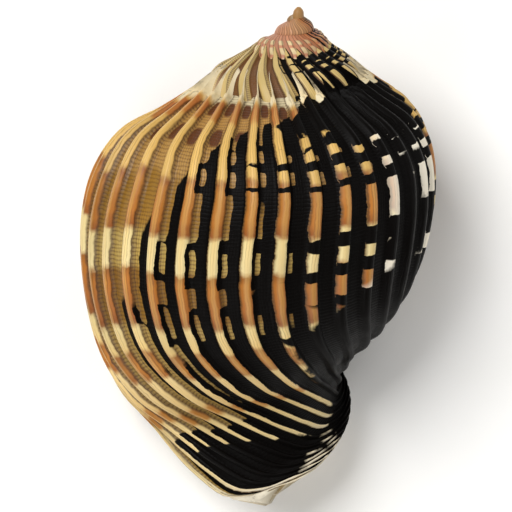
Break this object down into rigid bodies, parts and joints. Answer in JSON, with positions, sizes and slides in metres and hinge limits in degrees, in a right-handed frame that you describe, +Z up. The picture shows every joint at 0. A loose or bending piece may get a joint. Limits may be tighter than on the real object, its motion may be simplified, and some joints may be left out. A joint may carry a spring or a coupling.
{
  "type": "ribbed whelk shell",
  "caption": "Ribbed, banded sea shell of a whelk-like snail, lying on its opening with its pointed spire up and back.",
  "frame": {"origin": "centre of the shell's bounding box at the surface it lies on", "axes": "+Z up, +Y towards the apex, +X to the right of the shell's back as seen from above with the apex away from the viewer"},
  "size_m": [0.0616, 0.0842, 0.0492],
  "materials": {
    "shell_body": "semi-gloss natural shell, tan and cream with orange-brown and near-black bands"
  },
  "bodies": {
    "root": {"shell": "shell_body"}
  },
  "joints": []
}
